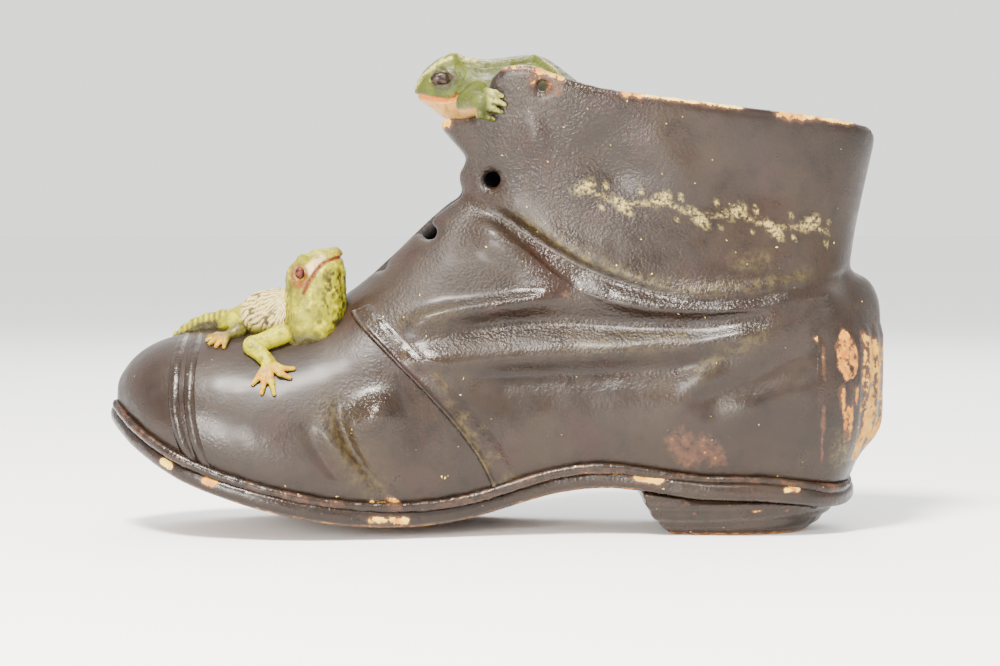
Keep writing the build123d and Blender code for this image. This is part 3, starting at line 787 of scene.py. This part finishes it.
def make_back_stay():
    """The broad band round the heel, ribbed down the back and rubbed bare."""
    angles = np.radians(np.linspace(-STAY_HALF_ANGLE, STAY_HALF_ANGLE, 121))
    rows = []
    for z in np.linspace(20.5, 62.5, 60):
        out = [np.array([math.cos(a), math.sin(a), 0.0]) for a in angles]
        row = [hit(np.array([STAY_TURN, 0.0, z]) + START * turn, -turn) for turn in out]
        if all(found is not None for found in row):
            rows.append(row)

    def profile(k, count):
        end = min(1.0, k / 9, (count - 1 - k) / 6)
        a = np.degrees(np.abs(angles))
        ribs = 0.20 * np.cos(np.radians(a * 26)) * (a < 52)
        edge = np.minimum(1.0, (STAY_HALF_ANGLE - a) / 9)
        ridge = 0.25 * bell(a, STAY_HALF_ANGLE - 5, 2.5)
        return (0.62 + ribs + ridge) * edge * end - 0.08

    obj, points = strip("back_stay", rows, profile)
    x, y, z = points.T
    angle = np.degrees(np.abs(np.arctan2(y, x - STAY_TURN)))
    ragged = noise(points * (1, 1, 0.8), 3.6) * 3.0
    drips = noise(points * (1, 1, 0.16), 1.7)
    bare = smooth(56, 48, angle + ragged) * smooth(62, 57, z + ragged)
    patch = np.hypot((angle - 64 + ragged) / 1.7, (z - 52 + ragged) / 1.3)
    blotch = smooth(6.4, 5, patch) * smooth(1.2, 2.6, np.hypot(patch, z - 48))
    streak = smooth(78, 68, angle + ragged) * smooth(47, 43, z) * smooth(22, 28, z)
    streak *= smooth(-0.35, 0.15, drips)
    ridge = bell(angle, STAY_HALF_ANGLE - 5, 2.2) * smooth(60, 54, z) * smooth(-0.5, 0.1, drips)
    wear = most((0.57 + 0.16 * drips) * bare, 0.585 * blotch, 0.565 * streak, 0.50 * ridge)
    dust = 0.6 * smooth(80, 70, angle) * smooth(34, 26, z)
    dress(obj, "boot_varnish", wear=wear, pale=0.35 * bare, dust=dust, **EVEN)


make_rolls()
make_straps()
make_back_stay()


# ---- Sole, heel, welt and tongue ----
def sculpted(name, voxel, passes, dent, shape=None):
    """The CAD node of that name, softened, reshaped and dented along its normals."""
    field, origin = cad_field((name,), voxel)
    points, quads = mesh_field(blur(field, passes), origin, voxel)
    if shape is not None:
        points = shape(points)
    normals = normals_of(points, quads)
    points = points + normals * dent(points, normals)[:, None]
    return make_mesh(name, points, quads), points, normals_of(points, quads)


def sole_dent(points, normals):
    edge = smooth(0.5, 0.0, np.abs(normals[:, 2]))
    bites = smooth(0.35, 0.75, noise(points + 5, 6)) * edge
    down = smooth(-0.5, -0.9, normals[:, 2])
    return (0.22 * noise(points, 9) - 0.5 * bites) * (1 - down * smooth(2, 0.6, points[:, 2]))


SOLE_CHIPS = (
    (-1, ((-96.5, 22.5), (-94.5, 21.5)), 1.3, 0.72, 1.0), (-1, ((-83.5, 17.8), (-81.5, 17)), 1.6, 0.72, 0.1),
    (-1, ((-36, 6), (-26, 5.6)), 1.4, 0.6, 0.8),
    (-1, ((-4, 12), (12, 17), (26, 19.6), (40, 19)), 1.3, 0.56, 0.2),
    (-1, ((41.5, 18), (47, 17.4)), 1.9, 0.78, 0.5), (-1, ((84, 14), (88, 14)), 1.0, 0.6, 0.8),
    (1, ((-74, 13), (-66, 11)), 2, 0.62, 0.5), (1, ((14, 16), (24, 17)), 2, 0.62, 0.5),
)


def make_sole():
    obj, points, normals = sculpted("sole", 0.8, 4, sole_dent)
    x, _, z = points.T
    wear, pale = chips_at(points, SOLE_CHIPS)
    under = smooth(-0.35, -0.8, normals[:, 2])
    low = smooth(5.5, 1.0, z) * smooth(-70, -50, x) * smooth(30, 5, x)
    front = smooth(-85, -55, x) * smooth(8, 2.5, z)
    arch = smooth(48, 40, x)
    wear = most(wear, 0.62 * low, (0.2 + 0.3 * arch) * under, 0.4 * front * under)
    dress(obj, "sole_varnish", wear=wear, pale=pale, **EVEN)


HEEL_ROUND = 10.5  # how far up the lower edge is rounded
HEEL_MIDDLE = 72.0
HEEL_LINES = (4, 7.6, 10.8)  # heights of the scored lifts


def heel_dent(points, normals):
    x, _, z = points.T
    side = smooth(0.97, 0.8, np.abs(normals[:, 2])) * smooth(0.2, 1.0, z)
    bites = smooth(0.4, 0.8, noise(points + 2, 5)) * side
    slump = smooth(3, 0.0, z) * side
    wavy = z - 0.5 * np.sin(x * 0.09)
    lines = sum(bell(wavy, level, 0.9) for level in HEEL_LINES)
    return 0.18 * noise(points, 7) * side - 0.3 * bites - 0.5 * lines * side - 0.7 * slump


def round_off(points):
    """The heel's lower edge rounded in by years of standing."""
    drop = np.clip((HEEL_ROUND - points[:, 2]) / HEEL_ROUND, 0, 1)
    tuck = 1 - np.sqrt(np.clip(1 - drop ** 2, 0, 1))
    points = points.copy()
    points[:, 0] = HEEL_MIDDLE + (points[:, 0] - HEEL_MIDDLE) * (1 - 0.24 * tuck)
    points[:, 1] = points[:, 1] * (1 - 0.16 * tuck)
    return points


def make_heel():
    obj, points, normals = sculpted("heel_block", 0.7, 2, heel_dent, round_off)
    bottom = smooth(2.2, 0.2, points[:, 2])
    specks = smooth(0.5, 0.8, noise(points, 2.5, 1))
    wear = np.maximum(0.62 * bottom, 0.5 * specks * smooth(0.6, 0.2, np.abs(normals[:, 2])))
    dress(obj, "sole_varnish", wear=wear, pale=0.4 * specks, **EVEN)


def tuck_in(points):
    """The coil pressed down and in, so that no gap shows along the sole."""
    x, y, _ = points.T
    return points - np.column_stack([0.012 * x, 0.4 * np.sign(y), np.full(len(points), 0.6)])


def make_welt():
    for word in SIDES:
        node = f"welt_coil_{word}"
        obj, points, _ = sculpted(node, 0.5, 1, lambda p, n: 0.7 + 0.2 * noise(p, 3), tuck_in)
        dress(obj, "sole_varnish", wear=0.30 + 0.22 * noise(points, 5), pale=0.3, **EVEN)


def make_tongue():
    obj, _, _ = sculpted("tongue", 0.8, 3, lambda p, n: 0.3 * noise(p, 8))
    dress(obj, "boot_varnish", wear=0.15, **EVEN)


make_sole()
make_heel()
make_welt()
make_tongue()


# ---- The frog ----
FROG_Y = sum(v[1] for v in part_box("frog_eyes")) / 2 / MM


def beside(joints, middle, side):
    """Joints (x, distance from the middle, z, radius) put on one side of the body."""
    return [(x, middle + side * y, z, r) for x, y, z, r in joints]


def frog_torso(clay):
    """Head, back and haunches of the squatting frog, with the ridges of its back."""
    y = FROG_Y
    clay.path([(-21.6, y, 130.9, 2.7), (-17.5, y, 131.9, 6), (-13.5, y, 133, 8)], 2, (1, 1.14, 0.98))
    clay.path([(-13, y, 132.6, 8.4), (-4, y, 130.6, 8.8), (3, y, 130.6, 9.4), (10, y, 131.2, 10)],
              3, (1, 1.1, 1))
    clay.path([(10, y, 130.4, 10.2), (16, y, 127, 9.6), (20.5, y, 120, 7.8), (22.5, y, 113, 5)],
              3, (1, 1.08, 1))
    clay.path([(-12, y, 128, 6.2), (-8.5, y, 124, 5.6)], 2.5, (1, 1.2, 1))
    for side in SIDES.values():
        clay.path(beside([(-18.5, 5, 136.6, 1.5), (-13, 6, 139.6, 2.5)], y, side), 1.4)
        ridge = [(-11.5, 5.6, 140, 1.4), (-3.5, 6.6, 138.2, 1.1), (4, 7.2, 138.8, 1.1),
                 (11, 6.9, 140, 1.2), (17, 6.4, 136.4, 1.0)]
        clay.path(beside(ridge, y, side), 1.0)
        clay.cut(clay.ball((-16.2, y + side * 9.6, 134.2), 2.3, (1.3, 1.0, 0.85)), 0.8)


FROG_MOUTH = ((-25, 129.6), (-21.9, 128.9), (-18.9, 128.2), (-15, 127.6), (-12.4, 128), (-11.4, 129.2))


def drawn(x, z, line, edge, core):
    """A line of paint seen from the side: 1 within core of the line, 0 beyond edge."""
    return smooth(edge, core, line_distance(x, z, line)[0])


def make_frog():
    clay = Clay((-28, -14, 104), (34, 14, 146), 0.36)
    frog_torso(clay)

    def dent(p):
        lip, _, _ = line_distance(p[:, 0], p[:, 2], FROG_MOUTH)
        return 0.12 * noise(p, 3) + 0.10 * noise(p, 1.3, 1) - 0.7 * bell(lip, 0, 0.45)

    obj, points, _ = clay.mesh("frog_body", dent)
    x, y, z = points.T
    y = np.abs(y - FROG_Y)
    back = np.interp(x, (-20, -12, -4, 4, 11, 17), (138, 141.6, 139.6, 140.2, 141.5, 137.6))
    stripe = bell(y, 6.8, 0.7) * smooth(-13, -9, x) * smooth(back - 3.2, back - 1.4, z)
    second = bell(y, 9.6, 0.6) * smooth(2, 7, x) * smooth(133, 135, z)
    brow = bell(y, 6.4, 0.8) * smooth(-10, -12, x) * smooth(135, 137, z) * 0.7
    nose = 0.8 * drawn(x, z, ((-24.6, 131.4), (-21.6, 135.6), (-17.5, 138.8), (-13.5, 140.2)), 0.8, 0.3)
    lid = 0.7 * drawn(x, z, ((-19.4, 133.6), (-17.2, 136.4), (-13.8, 136.2), (-12.2, 134.2)), 0.7, 0.25)
    olive = smooth(-12, -6, x) * 0.38 + 0.3 * smooth(6.2, 5, y) * smooth(-8, -2, x)
    socket = smooth(4.2, 3, np.hypot((x + 15.6) / 1.15, z - 134.2)) * smooth(6.5, 7.5, y)
    # Painted shade: the frog's back and sides are darkened below the rim, where they sink into the boot.
    gap = smooth(4, 8, x) * smooth(137, 135.5, z + 0.25 * (x - 10)) * smooth(5, 7, y)
    jaw = np.interp(x, (-25, -21.9, -18.9, -15, -12.4), (129.6, 128.9, 128.2, 127.6, 127.8))
    dress(
        obj, "frog_paint", light=most(stripe, second, brow, nose, lid),
        dark=most(olive * (0.6 + 0.4 * noise(points, 2)), 0.95 * socket, gap),
        belly=smooth(jaw + 0.1, jaw - 0.7, z) * smooth(-5.5, -7, x),
        red=drawn(x, z, FROG_MOUTH, 0.95, 0.45) * smooth(-10.5, -12.5, x))


# Each finger's tip and root as (x, z).
FROG_FINGERS = (((1.8, 128.3), (-3, 129.6)), ((2.5, 126), (-3.4, 127.6)),
                ((1.6, 123.8), (-3.6, 125.2)), ((-0.8, 121.8), (-4.8, 122.8)))


def make_frog_forelegs():
    """The arm comes down behind the jaw and four fingers close on the flap's edge."""
    for word, side in SIDES.items():
        palm = from_side(-1.0, 126.6, side, 1.2)
        palm[0] = -4.4
        clay = Clay((-20, min(0, side * 30), 112), (12, max(0, side * 30), 140), 0.33)
        arm = beside([(-5.5, 8, 129.5, 4.4), (-7.6, 12.6, 126.6, 3.9)], FROG_Y, side)
        clay.path([*arm, (*palm, 3.4)], 1.8)
        for (x, z), (root_x, root_z) in FROG_FINGERS:
            tip = from_side(x, z, side, 0.6)
            root = np.array([root_x, palm[1] + side * 1.6, root_z])
            knuckle = root * 0.45 + tip * 0.55 + np.array([0, side * 0.5, 0.2])
            clay.path([(*root, 1.25), (*knuckle, 1.05), (*tip, 0.7)], 0.35)
        obj, points, normals = clay.mesh(f"frog_{word}_foreleg", lambda p: 0.1 * noise(p, 2))
        x, _, z = points.T
        # Cream paint on the fingers, laid on their upward and outward faces, so that it is also a painted
        # highlight.
        fingers = smooth(-3.4, -1.5, x) * smooth(0.1, 0.7, side * normals[:, 1] + 0.5 * normals[:, 2])
        dress(obj, "frog_paint", light=0.8 * fingers, dark=0.35 * smooth(-0.5, 0.5, noise(points, 2.4)),
              belly=smooth(125.4, 124, z) * smooth(-5.4, -6.4, x))


def make_frog_hind_legs():
    for word, side in SIDES.items():
        clay = Clay((-2, min(0, side * 22), 102), (34, max(0, side * 22), 136), 0.36)
        ankle, ball = (20.5, 12.8, 115.2), (15, 12.6, 112.6)
        limbs = [([(19, 7.5, 123.5, 5.2), (11.5, 11.2, 122.6, 3.8), (10, 12, 121.8, 3)], 2),
                 ([(10.5, 12.2, 121.4, 2.9), (16, 12.9, 117.5, 2.7), (*ankle, 2)], 1.5),
                 ([(*ankle, 2), (*ball, 1.7)], 1.0)]
        for dx, dz in ((-7, 2), (-7.6, -0.6), (-6.6, -3.2), (-4.6, -5.2)):
            limbs.append(([(*ball, 1.3), (ball[0] + dx, 12.4, 112.0 + dz, 0.8)], 0.6))
        for joints, blend in limbs:
            clay.path(beside(joints, FROG_Y, side), blend)
        obj, points, _ = clay.mesh(f"frog_{word}_hind_leg", lambda p: 0.1 * noise(p, 2.5))
        dress(obj, "frog_paint", dark=0.5 + 0.5 * np.sin(points[:, 0] * 1.6 + points[:, 2]), light=0.15)


def make_eyes(name, centre, radius, squash):
    """A pair of eyeballs in one piece; centre is (x, middle, half the gap, z)."""
    x, middle, half_gap, z = centre
    meshes = []
    for side in SIDES.values():
        place = np.array([x, middle + side * half_gap, z])
        clay = Clay(place - radius - 1.5, place + radius + 1.5, 0.2)
        clay.add(clay.ball(place, radius, squash), 0.2)
        meshes.append(mesh_field(clay.field, clay.origin, clay.voxel))
    obj = make_mesh(name, *joined(meshes))
    dress(obj, name.removesuffix("s") + "_paint")


make_frog()
make_frog_forelegs()
make_frog_hind_legs()
make_eyes("frog_eyes", (-16, FROG_Y, 7.9, 134.2), 2.5, (1.45, 0.62, 0.82))


# ---- The lizard ----
LIZARD_Y = sum(v[1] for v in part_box("lizard_eyes")) / 2 / MM
STROKE_CENTRE = (-60.5, 71.5)
STROKES = 54


def strokes_of(points):
    """Fine strokes that fan out from the nape over the back, from 0 to 1."""
    x, z = points[:, 0] - STROKE_CENTRE[0], points[:, 2] - STROKE_CENTRE[1]
    angle = np.arctan2(z, x) + 0.10 * noise(points, 3)
    broken = smooth(-0.9, -0.2, noise(points * (1, 0.6, 1), 2.6, 1))
    return (0.5 + 0.5 * np.sin(angle * STROKES)) * broken


def make_lizard_trunk():
    clay = Clay((-92, -26, 50), (-46, 8, 78), 0.34)
    clay.path([(-80, -4.6, 61.6, 3.4), (-75.5, -6, 62.2, 4.4), (-69, -8.4, 64, 6.9),
               (-63.5, -10.6, 64.2, 7.7), (-57, -12.6, 63.2, 8)], 2.2, (1, 1.08, 1))

    def dent(p):
        return 0.26 * (strokes_of(p) - 0.5) * smooth(57, 60, p[:, 2]) + 0.12 * noise(p, 2.2)

    obj, points, _ = clay.mesh("lizard_trunk", dent)
    x, _, z = points.T
    back = smooth(-76.5, -74.5, x) * smooth(-59, -61.5, x)
    groove = smooth(0.45, 0.15, strokes_of(points))
    # Painted shade: the lower flanks are darkened where the trunk meets the boot.
    dress(obj, "lizard_paint", dark=0.95 * groove * back, cream=0.85 * back * smooth(59, 63, z),
          belly=smooth(61, 58.5, z) * 0.9 + 0.5 * smooth(-75, -77, x) * smooth(62, 59, z))


LIZARD_MOUTH = ((-44, 81.6), (-47, 81.3), (-50.3, 80.2), (-52.8, 77.6), (-54.9, 74.1), (-56.4, 71))


def make_lizard_head():
    y = LIZARD_Y
    clay = Clay((-72, -28, 46), (-38, 4, 92), 0.33)
    clay.path([(-56, y - 0.6, 57, 7), (-54.8, y - 0.6, 62, 8.8), (-53.6, y - 0.3, 67, 8.7),
               (-52.6, y, 73, 7.9), (-50.6, y, 77.4, 5.9)], 2.6)
    clay.path([(-55.6, y, 70.5, 6.6), (-56.4, y, 75.2, 5.3), (-52, y, 79.6, 4), (-47.8, y, 82, 2.5)],
              1.6, (1, 1.08, 1))
    brow = [(-60, 3.6, 77.2, 1.4), (-56.8, 4.2, 80.6, 1.5), (-51.5, 2.8, 82.8, 1.0)]
    for side in SIDES.values():
        clay.path(beside(brow, y, side), 1.2)
        clay.cut(clay.ball((-57.4, y + side * 6.8, 76.8), 1.9, (1.0, 0.9, 1.25)), 0.7)
    clay.cut(clay.cone((-45, y - 3, 84), 0.35, (-45, y + 3, 84), 0.35), 0.3)

    def dent(p):
        x, _, z = p.T
        lip = bell(line_distance(x, z, LIZARD_MOUTH)[0], 0, 0.5)
        scales = np.sin(z * 2.1 + 0.9 * np.sin(x * 1.4)) * smooth(77, 70, z)
        return 0.10 * scales + 0.16 * noise(p, 2.4) + 0.1 * noise(p, 1.0, 1) - 0.85 * lip

    obj, points, _ = clay.mesh("lizard_head", dent)
    x, _, z = points.T
    throat = smooth(-53.5, -48.5, x) * smooth(80, 76, z) * smooth(58, 62, z)
    speck = smooth(-0.05, 0.3, noise(points * (1, 1, 0.6), 1.4, 2))
    nape = smooth(-57.5, -60.5, x) * smooth(0.35, 0.7, strokes_of(points))
    snout = smooth(-48.6, -46, x) * smooth(81.2, 82.4, z)
    socket = smooth(3.4, 2.2, np.hypot(x + 57.6, (z - 76) / 1.35))
    tail_of_eye = drawn(x, z, ((-60, 74.5), (-60.6, 69.5)), 1.2, 0.4)
    # Painted shade: the chest and throat darken towards the bottom.
    dress(
        obj, "lizard_paint", light=smooth(0.1, 0.5, noise(points + 9, 3)) * 0.7,
        dark=most(speck * (0.4 + 0.6 * throat), 0.8 * nape, 0.55 * tail_of_eye),
        # Cream paint above the mouth, which is also a painted highlight between the eye and the mouth.
        cream=0.9 * drawn(x, z, ((-54.6, 78), (-51.6, 81.2)), 2.2, 0.9),
        belly=0.95 * smooth(61, 57, z + 0.12 * (x + 55)),
        red=most(drawn(x, z, LIZARD_MOUTH, 0.8, 0.35), 0.55 * snout, 0.8 * socket))


def make_lizard_tail():
    clay = Clay((-108, -14, 40), (-70, 22, 72), 0.32)
    spots = ((-76, -5.8, 2.6, 3.4), (-81, -3.6, 2.7, 2.6), (-86, -1.6, 2.7, 2.1), (-90, 0.6, 2.2, 1.7),
             (-93.5, 3.4, 1.4, 1.35), (-96.5, 7.2, 0.8, 1.05), (-98, 11.4, 0.5, 0.75))
    clay.path([(*from_above(x, y, lift), r) for x, y, lift, r in spots], 1.2)
    clay.path([(*from_above(x, y, 0.3), r * 0.8) for x, y, _, r in spots], 1.6)
    obj, points, _ = clay.mesh("lizard_tail", lambda p: 0.14 * np.sin(p[:, 0] * 3.6) + 0.1 * noise(p, 2))
    x, _, z = points.T
    rings = 0.5 + 0.5 * np.sin(x * 3.6)
    crest = np.interp(x, (-98, -93.5, -90, -86, -81, -76), (57.6, 59.4, 61.4, 62.6, 63.2, 62.6))
    under = smooth(crest + 0.3, crest - 0.7, z)
    dress(obj, "lizard_paint", dark=(1 - rings) * 0.5, light=rings * 0.4, belly=under)


# Root, elbow or knee, and wrist as (x, y, lift, radius), then toe tips as (x, y).
LIZARD_LEGS = {
    "lizard_right_foreleg": (((-62, -18.5, 2.6, 3), (-71, -22, 1.8, 2.6), (-66.2, -26.6, 1.5, 2.1)),
                             ((-70.4, -31), (-67.6, -32.4), (-64, -32.6), (-59.6, -29.8), (-58.6, -28))),
    "lizard_left_foreleg": (((-58.5, -5, 3.4, 3.2), (-66.5, 4.5, 1.6, 2.4), (-60.5, 11, 1.2, 1.9)),
                            ((-61.6, 16.6), (-59, 17.2), (-56.4, 16), (-54.8, 14), (-54.6, 11.8))),
    "lizard_right_hind_leg": (((-77, -8, 2.6, 3), (-76.2, -13, 1.0, 2.2), (-79, -15.6, 0.7, 1.5)),
                              ((-84.6, -14.6), (-85, -16.6), (-84, -18.6), (-82, -20.2), (-79.6, -20.8))),
    "lizard_left_hind_leg": (((-76.5, -1.5, 3, 3.2), (-73.8, 6.2, 1.4, 2.4), (-78.6, 10.2, 0.9, 1.6)),
                             ((-84.2, 9.2), (-84.8, 11.4), (-84, 13.8), (-82, 15.4), (-79.4, 16))),
}


def make_lizard_legs():
    for name, (joints, tips) in LIZARD_LEGS.items():
        limb = [(*from_above(x, y, lift), r) for x, y, lift, r in joints]
        ends = [from_above(x, y, 0.45) for x, y in tips]
        cloud = np.array([joint[:3] for joint in limb] + ends)
        clay = Clay(cloud.min(0) - 5.5, cloud.max(0) + 5.5, 0.3)
        clay.path(limb, 1.5)
        root, palm = cloud[0], cloud[2]
        for end in ends:
            middle = from_above(*(palm + (end - palm) * 0.55)[:2], 1.0)
            clay.path([(*palm, 1.2), (*middle, 0.95), (*end, 0.65)], 0.5)
        obj, points, _ = clay.mesh(name, lambda p: 0.1 * noise(p, 1.8))
        foot = cloud[3:].mean(0) - palm
        reach = np.clip((points - palm) @ foot / np.sum(foot ** 2), 0, 1)
        far_from_root = smooth(3.5, 6.5, np.linalg.norm(points - root, axis=1))
        dress(obj, "lizard_paint", light=0.45, toe=smooth(0.05, 0.4, reach),
              dark=0.5 * smooth(0.1, 0.5, noise(points, 1.8, 1)),
              belly=0.85 * far_from_root * ("hind" in name) * (1 - reach))


make_lizard_trunk()
make_lizard_head()
make_lizard_tail()
make_lizard_legs()
make_eyes("lizard_eyes", (-57.5, LIZARD_Y, 5.2, 76.8), 1.5, (0.95, 0.7, 1.3))


# ---- Stage, lights and camera ----
MIDDLE = Vector((0.0, 0.0, 0.06))
WARM = (1.0, 0.94, 0.86)


def lay_floor():
    n = Nodes("pale_floor")
    n.finish(n.mix(n.noise(300, 2), (0.94, 0.94, 0.94), (0.955, 0.955, 0.955)), 0.95, Specular_IOR_Level=0.1)
    size, floor_z = 12, cad_low.z
    corners = [(x * size, y * size, floor_z) for x, y in ((-1, -1), (1, -1), (1, 1), (-1, 1))]
    mesh = bpy.data.meshes.new("floor")
    mesh.from_pydata(corners, [], [(0, 1, 2, 3)])
    floor = bpy.data.objects.new("floor", mesh)
    bpy.context.scene.collection.objects.link(floor)
    floor.data.materials.append(n.material)


def area_light(name, place, size, power, color=(1, 1, 1)):
    """A square lamp in metres and watts that looks at the middle of the boot."""
    light = bpy.data.lights.new(name, "AREA")
    light.shape, light.size, light.energy, light.color = "SQUARE", size, power, color
    obj = bpy.data.objects.new(name, light)
    obj.location = place
    obj.rotation_euler = (MIDDLE - Vector(place)).to_track_quat("-Z", "Y").to_euler()
    bpy.context.scene.collection.objects.link(obj)


def light_and_camera():
    world = bpy.data.worlds.new("studio")
    world.use_nodes = True
    background = world.node_tree.nodes["Background"]
    background.inputs["Color"].default_value = (1.0, 0.99, 0.97, 1.0)
    background.inputs["Strength"].default_value = 1.7
    bpy.context.scene.world = world
    area_light("key", (-0.18, -0.50, 0.88), 0.20, 38.0, WARM)
    area_light("strip", (-0.45, -0.95, 0.22), 0.28, 19.0, WARM)
    area_light("fill", (0.7, -0.8, 0.45), 0.6, 3)
    area_light("back", (0.1, 0.8, 0.8), 0.8, 10)
    camera = bpy.data.cameras.new("camera")
    distance, tilt, aim = 0.800, math.radians(2.5), Vector((0.001, 0.0, 0.0585))
    camera.sensor_width = 36.0
    camera.lens = 96.0
    obj = bpy.data.objects.new("camera", camera)
    obj.location = aim + Vector((0.0, -distance * math.cos(tilt), distance * math.sin(tilt)))
    obj.rotation_euler = (math.radians(90) - tilt, 0.0, 0.0)
    bpy.context.scene.collection.objects.link(obj)
    bpy.context.scene.camera = obj


lay_floor()
light_and_camera()
